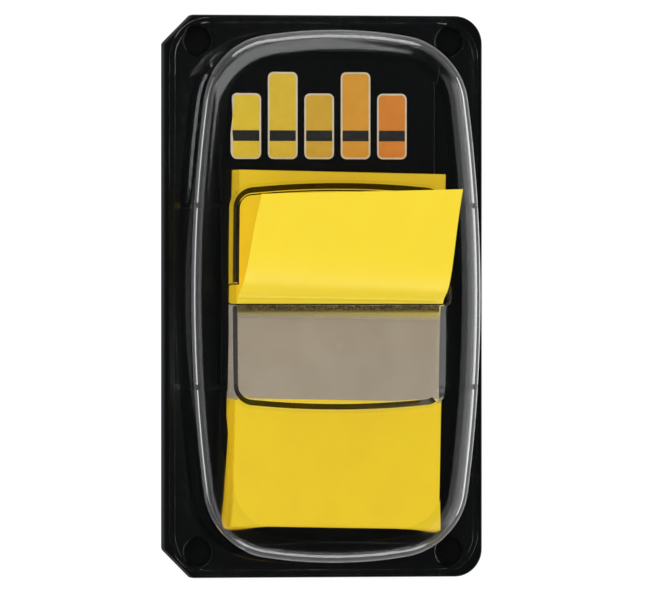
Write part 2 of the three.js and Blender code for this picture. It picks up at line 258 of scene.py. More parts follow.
def black_styrene():
    """Glossy black plastic with lengthwise drag marks in patches and a faint moulded grain."""
    material, tree, shader = new_finish("black_styrene")
    streaks = ranged(tree, texture(tree, (6500, 260, 6500), 3), 0.62, 0.74, 0, 1)
    patches = ranged(tree, texture(tree, (130, 110, 130), 2), 0.54, 0.68, 0, 1)
    scuffs = times(tree, streaks, patches)
    tree.links.new(between(tree, scuffs, BLACK, BLACK_SCUFFED), shader.inputs["Base Color"])
    tree.links.new(ranged(tree, scuffs, 0, 1, 0.16, 0.34), shader.inputs["Roughness"])
    relief(tree, shader, texture(tree, (5200, 900, 5200), 4, 0.7), 0.0000012)
    shader.inputs["Specular IOR Level"].default_value = 0.10
    return material


def matt_side():
    """The same plastic with the fine matt face that the mould leaves on the plate's upright sides."""
    material, tree, shader = new_finish("black_styrene_side")
    clouds = ranged(tree, texture(tree, (900, 900, 2400), 3, 0.6), 0.3, 0.7, 0, 1)
    tree.links.new(between(tree, clouds, BLACK, BLACK_SCUFFED), shader.inputs["Base Color"])
    tree.links.new(ranged(tree, clouds, 0, 1, 0.50, 0.60), shader.inputs["Roughness"])
    relief(tree, shader, texture(tree, (9000, 9000, 9000), 3), 0.000003)
    shader.inputs["Specular IOR Level"].default_value = 0.02
    return material


base_outline = round_rectangle(BASE_HALF_WIDTH, BASE_HALF_LENGTH, BASE_CORNER)
top_right = [(x, y) for x, y in base_outline if x > 0 and y > 0]
bottom_right = [(x, y) for x, y in base_outline if x > 0 and y < 0]
clipped_left = [
    (-BASE_HALF_WIDTH + BASE_CHAMFER, BASE_HALF_LENGTH),
    (-BASE_HALF_WIDTH, BASE_HALF_LENGTH - BASE_CHAMFER),
    (-BASE_HALF_WIDTH, -BASE_HALF_LENGTH + BASE_CHAMFER),
    (-BASE_HALF_WIDTH + BASE_CHAMFER, -BASE_HALF_LENGTH),
]
plate = rounded_edges(prism(top_right + clipped_left + bottom_right, 0, BASE_PLATE), BASE_EDGE)
pedestal_outline = round_rectangle(PEDESTAL_HALF_WIDTH, PEDESTAL_HALF_LENGTH, PEDESTAL_CORNER)
pedestal = rounded_edges(prism(pedestal_outline, BASE_PLATE / 2, PEDESTAL_TOP), PEDESTAL_EDGE)
base = worked(plate, pedestal, "UNION")
for side, end in CORNERS:
    socket_round = arc(side * PEG_X, end * PEG_Y, SOCKET_RADIUS, 0, 2 * math.pi, 48)[:-1]
    base = worked(base, prism(socket_round, BASE_PLATE - SOCKET_DEPTH, BASE_PLATE + 1), "DIFFERENCE")
base = finished("base_moulding", base, black_styrene())
base.data.materials.append(matt_side())
for polygon in base.data.polygons:
    on_plate_side = abs(polygon.normal.z) < UPRIGHT and polygon.center.z < BASE_PLATE * MM
    polygon.material_index = MATT_FACE if on_plate_side else GLOSSY_FACE
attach(base, "root")
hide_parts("base")


# Printed tabs
# A row of five plain index tabs in the pad's own colours, screen-printed on the pedestal above
# the pad. Each has a pale outline, and a black stripe where its coloured part would end.
PRINT_X = -1.1
PRINT_FOOT = 16.7
TAB_WIDTH = 3.7
TAB_GAP = 0.85
TAB_HEIGHTS = [8.0, 10.6, 8.0, 10.6, 8.0]
TAB_CORNER = 0.7
TAB_OUTLINE = 0.22
STRIPE_FOOT = 2.2
STRIPE_HEIGHT = 1.3
STRIPE_CORNER = 0.05
RIM_INK = 0.02
FILL_INK = 0.03
STRIPE_INK = 0.04
THIN_INK = 0.9
TAB_COLOURS = [
    ("lemon_ink", (0.66, 0.46, 0.026, 1)),
    ("yellow_ink", (0.64, 0.43, 0.030, 1)),
    ("gold_ink", (0.57, 0.335, 0.028, 1)),
    ("amber_ink", (0.62, 0.28, 0.025, 1)),
    ("orange_ink", (0.61, 0.20, 0.022, 1)),
]
CREAM = (0.60, 0.51, 0.37, 1)


def printing_ink(name, colour):
    """Screen ink, slightly uneven, as it dries on moulded plastic."""
    material, tree, shader = new_finish(name)
    mottle = ranged(tree, texture(tree, (900, 900, 900), 4, 0.6), 0.3, 0.7, 0, 1)
    thin = tuple(THIN_INK * c for c in colour[:3]) + (1,)
    tree.links.new(between(tree, mottle, thin, colour), shader.inputs["Base Color"])
    tree.links.new(ranged(tree, mottle, 0, 1, 0.36, 0.48), shader.inputs["Roughness"])
    relief(tree, shader, texture(tree, (6000, 6000, 6000), 2), 0.000003)
    return material


inks = {"cream": printing_ink("cream_ink", CREAM), "black": printing_ink("black_ink", BLACK)}
for number, (ink_name, colour) in enumerate(TAB_COLOURS):
    left = PRINT_X + (number - 2.5) * TAB_WIDTH + (number - 2) * TAB_GAP
    middle_x = left + TAB_WIDTH / 2
    height = TAB_HEIGHTS[number]
    middle_y = PRINT_FOOT + height / 2
    rim = round_rectangle(TAB_WIDTH / 2, height / 2, TAB_CORNER, middle_x, middle_y, 6)
    fill_corner = TAB_CORNER - TAB_OUTLINE
    fill_width = TAB_WIDTH / 2 - TAB_OUTLINE
    fill_height = height / 2 - TAB_OUTLINE
    fill = round_rectangle(fill_width, fill_height, fill_corner, middle_x, middle_y, 6)
    stripe_y = PRINT_FOOT + STRIPE_FOOT + STRIPE_HEIGHT / 2
    stripe = round_rectangle(fill_width, STRIPE_HEIGHT / 2, STRIPE_CORNER, middle_x, stripe_y, 2)
    layers = [
        ("rim", rim, RIM_INK, inks["cream"]),
        ("fill", fill, FILL_INK, printing_ink(ink_name, colour)),
        ("stripe", stripe, STRIPE_INK, inks["black"]),
    ]
    for layer, outline, thickness, ink in layers:
        print_layer = prism(outline, PEDESTAL_TOP - RIM_INK, PEDESTAL_TOP + thickness)
        print_layer = finished(f"printed_tab_{layer}_{number + 1}", print_layer, ink)
        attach(print_layer, "root")


# Pad of flags
# About fifty film flags, stuck one on another. Each is clear film with one coloured tip, and they
# lie with the tips at alternate ends, so the pad is coloured at both ends and clear between.
LEAVES = 50
FLAG_WIDTH = 25.6
FLAG_LENGTH = 43.2
TIP_LENGTH = 15.4
UPPER_TIP_LENGTH = 16.2
PAD_TURN = math.radians(1.15)
LEAF_SHIFT = 0.055
YELLOW = (0.90, 0.62, 0.005, 1)
YELLOW_DEEP = (0.87, 0.58, 0.005, 1)
# Painted shade: a darker copy of the tip yellow for the pad's upper tips, standing for the shade at that
# end.
YELLOW_SHADED_TIP = (0.75, 0.51, 0.009, 1)
YELLOW_SHADED_TIP_DEEP = (0.71, 0.47, 0.008, 1)
FILM = (0.340, 0.276, 0.202, 1)
FILM_PALE = (0.382, 0.314, 0.234, 1)
# Painted shade: the dark gold that half the side faces at each tip get, for the shade on the stack's
# sides.
GOLD_EDGE_SHADED = (0.30, 0.16, 0.020, 1)
LOWER_TIP, CLEAR_MIDDLE, TIP_EDGE, UPPER_TIP = range(4)
PAD_LIFT = 0.02

pad_low, pad_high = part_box("flag_pad")
PAD_X = (pad_low[0] + pad_high[0]) / 2 / MM
PAD_Y = (pad_low[1] + pad_high[1]) / 2 / MM
PAD_TOP = pad_high[2] / MM
PAD_FOOT = PEDESTAL_TOP + PAD_LIFT


def matt_film(name, colour_a, colour_b, gloss):
    """Film with a matt face to write on: faint clouds of colour and a very fine tooth."""
    material, tree, shader = new_finish(name)
    clouds = ranged(tree, texture(tree, (220, 160, 220), 4, 0.6), 0.3, 0.7, 0, 1)
    tree.links.new(between(tree, clouds, colour_a, colour_b), shader.inputs["Base Color"])
    tree.links.new(ranged(tree, clouds, 0, 1, gloss - 0.04, gloss + 0.04), shader.inputs["Roughness"])
    relief(tree, shader, texture(tree, (9000, 9000, 9000), 3), 0.000003)
    return material


def on_pad(x, y, z):
    """A place in the pad's own frame, taken to the dispenser's."""
    across = x * math.cos(PAD_TURN) + y * math.sin(PAD_TURN)
    along = y * math.cos(PAD_TURN) - x * math.sin(PAD_TURN)
    return (PAD_X + across, PAD_Y + along, z)


random.seed(12)
leaf_points = []
leaf_faces = []
leaf_finishes = []
leaf_height = (PAD_TOP - PAD_FOOT) / LEAVES
half_length = FLAG_LENGTH / 2 - LEAF_SHIFT
stations = [-half_length, -half_length + TIP_LENGTH, half_length - UPPER_TIP_LENGTH, half_length]
for leaf in range(LEAVES):
    shift_x = random.uniform(-LEAF_SHIFT, LEAF_SHIFT)
    shift_y = random.uniform(-LEAF_SHIFT, LEAF_SHIFT)
    side_finishes = (LOWER_TIP, CLEAR_MIDDLE, TIP_EDGE)
    if leaf % 2 == 0:
        side_finishes = (TIP_EDGE, CLEAR_MIDDLE, LOWER_TIP)
    foot = PAD_FOOT + leaf * leaf_height
    start = len(leaf_points)
    for y in stations:
        for x, z in [(-1, 0), (1, 0), (1, 1), (-1, 1)]:
            place = on_pad(x * FLAG_WIDTH / 2 + shift_x, y + shift_y, foot + z * leaf_height)
            leaf_points.append(place)
    leaf_faces.append((start, start + 1, start + 2, start + 3))
    leaf_finishes.append(side_finishes[0])
    for part, flat_finish in enumerate((LOWER_TIP, CLEAR_MIDDLE, UPPER_TIP)):
        near = start + 4 * part
        for i in range(4):
            j = (i + 1) % 4
            leaf_faces.append((near + j, near + i, near + 4 + i, near + 4 + j))
            leaf_finishes.append(flat_finish if i in (0, 2) else side_finishes[part])
    end = start + 12
    leaf_faces.append((end + 3, end + 2, end + 1, end))
    leaf_finishes.append(side_finishes[2])
yellow_film = matt_film("yellow_film", YELLOW, YELLOW_DEEP, 0.40)
pad = finished("flag_leaves", body(leaf_points, leaf_faces), yellow_film)
pad.data.materials.append(matt_film("clear_film_stack", FILM, FILM_PALE, 0.44))
# Dark gold side faces at the tips: painted shade on the side of the pad.
pad.data.materials.append(matt_film("gold_film_edge_shaded", GOLD_EDGE_SHADED, YELLOW_DEEP, 0.45))
# The upper tips take the darker yellow: painted shade at that end of the pad.
pad.data.materials.append(matt_film("yellow_film_shaded_tip", YELLOW_SHADED_TIP, YELLOW_SHADED_TIP_DEEP, 0.42))
for polygon, finish in zip(pad.data.polygons, leaf_finishes):
    polygon.material_index = finish
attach(pad, "root")
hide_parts("flag_pad")


# Leading flag
# The next flag to be used. Its clear end lies on the pad under the thumb panel. It bends up
# through the slot, and its coloured tip curls over the window and twists a little to the right.
FILM_THICKNESS = 0.11
BEND_RADIUS = 2.0
BEND_SETBACK = 0.75
TIP_PITCH = math.radians(7)
PITCH_EASE = 3.4
TIP_HEADING = math.radians(9.5)
TIP_ROLL = math.radians(5)
TIP_SKEW = math.radians(2.6)
SLOT_LIP = -0.9
SLOT_TOP = 1.4
FILM_CLEARANCE = 0.25
CAD_FILM = 0.2
COLOURED_FROM = 25.2
# Length over which the print fades in. The fade also paints the light and shade on the film near the
# bend.
PRINT_AND_LIGHT_FADE = 1.4
CLEAR_ALPHA = 0.012
BRIGHT_YELLOW = (0.86, 0.645, 0.021, 1)
BRIGHT_YELLOW_DEEP = (0.84, 0.620, 0.018, 1)
CLEAR_FILM = (0.62, 0.56, 0.42, 1)

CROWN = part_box("cover")[1][2] / MM


def flag_line(free_steps=48, bend_steps=24, straight_steps=4, flat_steps=8):
    """Places down the flag's middle: its point, its pitch, how far it is free, and its length so far."""
    swing = FLAG_WIDTH / 2 * math.sin(PAD_TURN)
    room = BEND_SETBACK + SLOT_TOP - SLOT_LIP - swing - FILM_CLEARANCE
    climb = CROWN - PAD_TOP + CAD_FILM - BEND_RADIUS
    start = math.asin(BEND_RADIUS / math.hypot(room, climb)) + math.atan2(climb, room)
    flat = FLAG_LENGTH / 2 - PAD_Y + SLOT_LIP - BEND_SETBACK
    bend = BEND_RADIUS * start
    straight = (CROWN - PAD_TOP - BEND_RADIUS * (1 - math.cos(start))) / math.sin(start)
    free = FLAG_LENGTH - flat - bend - straight
    steps = [(flat / flat_steps, 0, 0)] * flat_steps
    steps += [(bend / bend_steps, start * (i + 0.5) / bend_steps, 0) for i in range(bend_steps)]
    steps += [(straight / straight_steps, start, 0)] * straight_steps
    for i in range(free_steps):
        share = (i + 0.5) / free_steps
        pitch = TIP_PITCH + (start - TIP_PITCH) * (1 - share) ** PITCH_EASE
        steps.append((free / free_steps, pitch, share))
    point = Vector((0, -FLAG_LENGTH / 2, PAD_TOP + CAD_FILM / 2))
    line = [(point.copy(), 0, 0, 0)]
    travelled = 0
    for length, pitch, share in steps:
        heading = TIP_HEADING * share
        point.x += length * math.cos(pitch) * math.sin(heading)
        point.y += length * math.cos(pitch) * math.cos(heading)
        point.z += length * math.sin(pitch)
        travelled += length
        line.append((point.copy(), pitch, share, travelled))
    return line


ACROSS = 32
flag_upper = []
flag_lower = []
flag_travel = []
for point, pitch, share, travelled in flag_line():
    skew = TIP_SKEW * share
    side = Vector((math.cos(skew), math.sin(skew), -math.tan(TIP_ROLL * share))).normalized()
    normal = side.cross(Vector((0, math.cos(pitch), math.sin(pitch)))).normalized()
    for i in range(ACROSS + 1):
        middle = point + side * FLAG_WIDTH * (i / ACROSS - 0.5)
        flag_upper.append(on_pad(*(middle + normal * FILM_THICKNESS / 2)))
        flag_lower.append(on_pad(*(middle - normal * FILM_THICKNESS / 2)))
        flag_travel.append(travelled)
row = ACROSS + 1
under = len(flag_upper)
rows = under // row
flag_faces = []
for r in range(rows - 1):
    for i in range(ACROSS):
        a = r * row + i
        flag_faces.append((a, a + 1, a + 1 + row, a + row))
        flag_faces.append((under + a, under + a + row, under + a + 1 + row, under + a + 1))
    near = r * row
    far = near + ACROSS
    flag_faces.append((near, near + row, under + near + row, under + near))
    flag_faces.append((far, under + far, under + far + row, far + row))
last = (rows - 1) * row
for i in range(ACROSS):
    flag_faces.append((i, under + i, under + i + 1, i + 1))
    flag_faces.append((last + i, last + i + 1, under + last + i + 1, under + last + i))


def flag_finish():
    """Clear matt film whose tip is coloured. The print begins softly where the film turns clear, and this
    soft start is also painted light: the yellowish light and the shade on the film near the bend.
    """
    material, tree, shader = new_finish("leading_flag_film")
    length = tree.nodes.new("ShaderNodeAttribute")
    length.attribute_name = "length"
    printed = ranged(tree, length.outputs["Fac"], COLOURED_FROM, COLOURED_FROM + PRINT_AND_LIGHT_FADE, 0, 1)
    clouds = ranged(tree, texture(tree, (160, 120, 160), 3, 0.6), 0.3, 0.7, 0, 1)
    yellow = between(tree, clouds, BRIGHT_YELLOW, BRIGHT_YELLOW_DEEP)
    film_colour = between(tree, printed, CLEAR_FILM, BRIGHT_YELLOW)
    tree.links.new(yellow, film_colour.node.inputs[7])
    tree.links.new(film_colour, shader.inputs["Base Color"])
    tree.links.new(ranged(tree, printed, 0, 1, CLEAR_ALPHA, 1), shader.inputs["Alpha"])
    tree.links.new(ranged(tree, clouds, 0, 1, 0.52, 0.60), shader.inputs["Roughness"])
    relief(tree, shader, texture(tree, (9000, 9000, 9000), 3), 0.000003)
    return material


leading_flag = finished("leading_flag_film", body(flag_upper + flag_lower, flag_faces), flag_finish())
flag_length = leading_flag.data.attributes.new("length", "FLOAT", "POINT")
flag_length.data.foreach_set("value", flag_travel + flag_travel)
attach(leading_flag, "root")
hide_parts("leading_flag")


# Clear cover
# One moulding of clear polystyrene: a stepped flange, a bowed dome with drafted walls and a round
# shoulder, a recessed thumb panel, the window and the slot, four guide ribs and four corner pegs.
WALL = 0.9
FLANGE_THICKNESS = 0.6
FLANGE_CORNER = 5.0
LIP_WIDTH = 0.65
LIP_DROP = 0.2
DOME_MARGIN_X = 0.82
DOME_MARGIN_Y = 1.24
DOME_SIDE_RADIUS = 183.0
DOME_END_RADIUS = 58.0
DOME_CORNER = 9.5
DRAFT = math.radians(4)
SHOULDER_RUN = 3.8
SHOULDER_RISE = 2.4
RECESS_DEPTH = 0.7
RECESS_SLOPE = 0.8
RECESS_HALF_LENGTH = 13.8
RECESS_SIDE_RADIUS = 600.0
RECESS_END_RADIUS = 110.0
RECESS_CORNER = 2.6
RECESS_MARGIN = 0.52
RECESS_BRIM = 0.3
RECESS_FOOT = 0.25
WINDOW_LEDGE = 0.25
CHAMBER_HALF_WIDTH = 13.86
SLOT_HALF_WIDTH = 13.65
SLOT_CORNER = 0.5
OPENING_EDGE = 0.28
RIB_THICKNESS = 0.65
RIB_Y = 11.0
RIB_FOOT_GAP = 0.4
PEG_RADIUS = 1.6
PEG_LENGTH = 1.3
PEG_PAD_RADIUS = 2.0
PEG_PAD_HEIGHT = 0.25
GATE_RADIUS = 0.5
GATE_HEIGHT = 0.2
GATE_Y = -6.0
SEAT_GAP = 0.015
PAST = 1.0
EDGE_REACH_X = 13.95
EDGE_REACH_Y = 14.3
RECESS_LIT_X = 10.4
CLEAR = (0.985, 0.99, 0.99, 1)
# Painted shade: greyer and darker tints of the one clear plastic for its inner faces, its side walls and
# its left shoulder.
CLEAR_INSIDE_SHADED = (0.80, 0.82, 0.83, 1)
CLEAR_WALL_SHADED = (0.55, 0.57, 0.58, 1)
CLEAR_LEFT_SHADED = (0.06, 0.065, 0.07, 1)
# Painted shade: a near-black tint for the recess's sloping and cut faces, standing for the dark outline
# that bent light leaves there.
EDGE_PAINTED_SHADE = (0.0025, 0.0020, 0.0010, 1)
SHADOW_TINT = (0.96, 0.97, 0.97, 1)
STYRENE_IOR = 1.53
INSIDE_IOR = 1.2
WALL_IOR = 1.03
END_IOR = 1.55
EDGE_IOR = 1.18
CLEAR_FACE, INSIDE_FACE, EDGE_FACE, WALL_FACE, END_FACE, LEFT_FACE, SHOULDER_FACE = range(7)
WALL_TILT = 0.3
BROW_TILT = 0.62
LEVEL_TILT = 0.95
BESIDE_SHARE = 0.88
CORNER_SHARE = 0.55
FACE_MARGIN = 0.05

FLANGE_HALF_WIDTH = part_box("cover")[1][0] / MM
FLANGE_HALF_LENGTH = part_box("cover")[1][1] / MM
FLANGE_FOOT = BASE_PLATE + SEAT_GAP
FLANGE_TOP = BASE_PLATE + FLANGE_THICKNESS
PANEL_TOP = CROWN - RECESS_DEPTH
PANEL_UNDERSIDE = PANEL_TOP - WALL
RECESS_SIDE_WALL = WALL * math.hypot(RECESS_DEPTH, RECESS_SLOPE) / RECESS_DEPTH


def bowed_outline(form, inset):
    """A rectangle of four long arcs, its corners tangent arcs, moved inwards by the inset."""
    half_width, half_length, side_radius, end_radius, corner, steps = form
    side_x = half_width - side_radius
    end_y = half_length - end_radius
    to_side = side_radius - corner
    to_end = end_radius - corner
    apart = math.hypot(side_x, end_y)
    along = (apart ** 2 + to_side ** 2 - to_end ** 2) / (2 * apart)
    across = math.sqrt(to_side ** 2 - along ** 2)
    unit_x = -side_x / apart
    unit_y = end_y / apart
    corner_x = side_x + along * unit_x - across * unit_y
    corner_y = along * unit_y + across * unit_x
    low = math.atan2(corner_y, corner_x - side_x)
    high = math.atan2(corner_y - end_y, corner_x)
    half = arc(side_x, 0, side_radius - inset, -low, low, steps[0])[:-1]
    half += arc(corner_x, corner_y, corner - inset, low, high, steps[1])[:-1]
    half += arc(0, end_y, end_radius - inset, high, math.pi - high, steps[2])[:-1]
    half += arc(-corner_x, corner_y, corner - inset, math.pi - high, math.pi - low, steps[1])[:-1]
    return half + [(-x, -y) for x, y in half]


def dome(wall, low, steps=20):
    """The dome's outer skin as a solid, or its inner one where a wall is given."""
    form = (
        FLANGE_HALF_WIDTH - DOME_MARGIN_X,
        FLANGE_HALF_LENGTH - DOME_MARGIN_Y,
        DOME_SIDE_RADIUS,
        DOME_END_RADIUS,
        DOME_CORNER,
        (56, 40, 36),
    )
    run = SHOULDER_RUN - wall
    rise = SHOULDER_RISE - wall
    centre_z = CROWN - SHOULDER_RISE

    def wall_inset(z):
        return (z - FLANGE_TOP) * math.tan(DRAFT) + wall / math.cos(DRAFT)

    start = math.atan2(rise * math.tan(DRAFT), run)
    centre_inset = wall_inset(centre_z + rise * math.sin(start)) + run * math.cos(start)
    rings = [(low, wall_inset(low))]
    for i in range(steps + 1):
        angle = start + (math.pi / 2 - start) * i / steps
        rings.append((centre_z + rise * math.sin(angle), centre_inset - run * math.cos(angle)))
    return skinned([(z, bowed_outline(form, inset)) for z, inset in rings])


RECESS_FORM = (
    CHAMBER_HALF_WIDTH - RECESS_MARGIN,
    RECESS_HALF_LENGTH,
    RECESS_SIDE_RADIUS,
    RECESS_END_RADIUS,
    RECESS_CORNER,
    (12, 18, 24),
)
SLOPE_ANGLE = math.atan2(RECESS_DEPTH, RECESS_SLOPE)


def recess():
    """What the recess takes out of the crown: a sloping side with a round brim and a round foot."""
    foot_run = RECESS_FOOT * math.tan(SLOPE_ANGLE / 2)
    brim_run = RECESS_BRIM * math.tan(SLOPE_ANGLE / 2)
    rings = []
    for i in range(7):
        turn = SLOPE_ANGLE * i / 6
        inset = RECESS_SLOPE + foot_run - RECESS_FOOT * math.sin(turn)
        rings.append((PANEL_TOP + RECESS_FOOT * (1 - math.cos(turn)), inset))
    for i in range(8, 0, -1):
        turn = SLOPE_ANGLE * i / 8
        inset = RECESS_BRIM * math.sin(turn) - brim_run
        rings.append((CROWN - RECESS_BRIM * (1 - math.cos(turn)), inset))
    rings.append((CROWN + PAST, rings[-1][1]))
    return skinned([(z, bowed_outline(RECESS_FORM, inset)) for z, inset in rings])


def panel_block(round_foot=0.5):
    """The block that stays solid under the recess: the panel's underside and its sloping rim."""
    slope = RECESS_SLOPE / RECESS_DEPTH
    base_inset = slope * (CROWN - PANEL_UNDERSIDE) - RECESS_SIDE_WALL
    run = round_foot * math.tan(SLOPE_ANGLE / 2)
    rings = []
    for i in range(9):
        turn = SLOPE_ANGLE * i / 8
        inset = base_inset + run - round_foot * math.sin(turn)
        rings.append((PANEL_UNDERSIDE + round_foot * (1 - math.cos(turn)), inset))
    top = CROWN + RECESS_DEPTH
    rings.append((top, slope * (CROWN - top) - RECESS_SIDE_WALL))
    return skinned([(z, bowed_outline(RECESS_FORM, inset)) for z, inset in rings])


def opening_levels():
    """Heights and insets of an opening through the panel, whose edges are slightly round."""
    edge = OPENING_EDGE
    turns = [math.pi / 2 * i / 4 for i in range(5)]
    levels = [(PANEL_UNDERSIDE - PAST, -edge)]
    levels += [(PANEL_UNDERSIDE + edge * (1 - math.cos(t)), -edge * (1 - math.sin(t))) for t in turns]
    levels += [(PANEL_TOP - edge * (1 - math.sin(t)), -edge * (1 - math.cos(t))) for t in turns]
    levels.append((CROWN + PAST, -edge))
    return levels


def upright(half_length):
    """An upright opening from the slot's lip upwards, slightly wider than a flag."""
    rings = []
    for z, inset in opening_levels():
        width = SLOT_HALF_WIDTH - inset
        length = half_length - inset
        outline = round_rectangle(width, length, SLOT_CORNER - inset, 0, SLOT_LIP + half_length, 8)
        rings.append((z, outline))
    return skinned(rings)


def rib(side, end):
    """A guide rib from the dome's wall in to the pad, its inner end round."""
    outer = FLANGE_HALF_WIDTH - DOME_MARGIN_X
    middle = side * (outer + CHAMBER_HALF_WIDTH) / 2
    half = (outer - CHAMBER_HALF_WIDTH) / 2
    outline = round_rectangle(half, RIB_THICKNESS / 2, RIB_THICKNESS * 0.49, middle, end * RIB_Y, 8)
    return prism(outline, BASE_PLATE + RIB_FOOT_GAP, CROWN - WALL / 2)


def flange():
    """A flat rim that lies on the base, its edge stepped down to a thin lip, all edges slightly round."""
    low_top = FLANGE_TOP - LIP_DROP
    levels = [
        (FLANGE_FOOT, 0.03),
        (FLANGE_FOOT + 0.03, 0),
        (low_top - 0.08, 0),
        (low_top - 0.02, 0.02),
        (low_top, 0.08),
        (low_top, LIP_WIDTH - 0.05),
        (low_top + 0.05, LIP_WIDTH),
        (FLANGE_TOP - 0.07, LIP_WIDTH + 0.01),
        (FLANGE_TOP - 0.02, LIP_WIDTH + 0.03),
        (FLANGE_TOP, LIP_WIDTH + 0.09),
    ]
    rings = []
    for z, inset in levels:
        width = FLANGE_HALF_WIDTH - inset
        length = FLANGE_HALF_LENGTH - inset
        rings.append((z, round_rectangle(width, length, FLANGE_CORNER - inset, 0, 0, 24)))
    return skinned(rings)


def turned_piece(x, y, profile):
    """A round piece with an upright axis at x, y, from heights and radii."""
    return skinned([(z, arc(x, y, radius, 0, 2 * math.pi, 48)[:-1]) for z, radius in profile])


def clear_styrene(name, tint, smooth, marked, ior=STYRENE_IOR):
    """Clear plastic, very slightly wavy, with faint handling marks. Light passes to what is under it."""
    material, tree, shader = new_finish(name)
    shader.inputs["Base Color"].default_value = tint
    shader.inputs["Transmission Weight"].default_value = 1.0
    shader.inputs["IOR"].default_value = ior
    marks = ranged(tree, texture(tree, (700, 420, 700), 5, 0.65), 0.58, 0.75, 0, 1)
    tree.links.new(ranged(tree, marks, 0, 1, smooth, marked), shader.inputs["Roughness"])
    relief(tree, shader, texture(tree, (180, 120, 180), 2), 0.000006, 0.5)
    path = tree.nodes.new("ShaderNodeLightPath")
    lit = tree.nodes.new("ShaderNodeMath")
    lit.operation = "MAXIMUM"
    tree.links.new(path.outputs["Is Shadow Ray"], lit.inputs[0])
    tree.links.new(path.outputs["Is Diffuse Ray"], lit.inputs[1])
    through = tree.nodes.new("ShaderNodeBsdfTransparent")
    through.inputs["Color"].default_value = SHADOW_TINT
    mix = tree.nodes.new("ShaderNodeMixShader")
    tree.links.new(lit.outputs["Value"], mix.inputs["Fac"])
    tree.links.new(shader.outputs["BSDF"], mix.inputs[1])
    tree.links.new(through.outputs["BSDF"], mix.inputs[2])
    tree.links.new(mix.outputs["Shader"], tree.nodes["Material Output"].inputs["Surface"])
    return material


cavity = worked(dome(WALL, BASE_PLATE - PAST), panel_block(), "DIFFERENCE")
cover = worked(flange(), dome(0, FLANGE_FOOT), "UNION")
cover = worked(cover, cavity, "DIFFERENCE")
for side, end in CORNERS:
    cover = worked(cover, worked(rib(side, end), dome(0, FLANGE_FOOT), "INTERSECT"), "UNION")
cover = worked(cover, recess(), "DIFFERENCE")
ledge = RECESS_SLOPE + WINDOW_LEDGE
window = skinned([(z, bowed_outline(RECESS_FORM, ledge + inset)) for z, inset in opening_levels()])
window = worked(window, upright(RECESS_HALF_LENGTH), "INTERSECT")
cover = worked(cover, window, "DIFFERENCE")
cover = worked(cover, upright((SLOT_TOP - SLOT_LIP) / 2), "DIFFERENCE")
gate_profile = [
    (PANEL_TOP - WALL / 2, GATE_RADIUS),
    (PANEL_TOP + GATE_HEIGHT * 0.6, GATE_RADIUS),
    (PANEL_TOP + GATE_HEIGHT * 0.9, GATE_RADIUS * 0.9),
    (PANEL_TOP + GATE_HEIGHT, GATE_RADIUS * 0.74),
]
cover = worked(cover, turned_piece(0, GATE_Y, gate_profile), "UNION")
gate_pit = [
    (PANEL_TOP + GATE_HEIGHT * 0.4, GATE_RADIUS * 0.3),
    (PANEL_TOP + GATE_HEIGHT * 2, GATE_RADIUS * 0.6),
]
cover = worked(cover, turned_piece(0, GATE_Y, gate_pit), "DIFFERENCE")
for side, end in CORNERS:
    peg_profile = [
        (BASE_PLATE - PEG_LENGTH, PEG_RADIUS - 0.15),
        (BASE_PLATE - PEG_LENGTH + 0.15, PEG_RADIUS),
        (BASE_PLATE + FLANGE_THICKNESS / 2, PEG_RADIUS),
    ]
    cover = worked(cover, turned_piece(side * PEG_X, end * PEG_Y, peg_profile), "UNION")
    peg_pad = [
        (BASE_PLATE + FLANGE_THICKNESS / 2, PEG_PAD_RADIUS),
        (FLANGE_TOP + PEG_PAD_HEIGHT - 0.08, PEG_PAD_RADIUS),
        (FLANGE_TOP + PEG_PAD_HEIGHT, PEG_PAD_RADIUS - 0.1),
    ]
    cover = worked(cover, turned_piece(side * PEG_X, end * PEG_Y, peg_pad), "UNION")


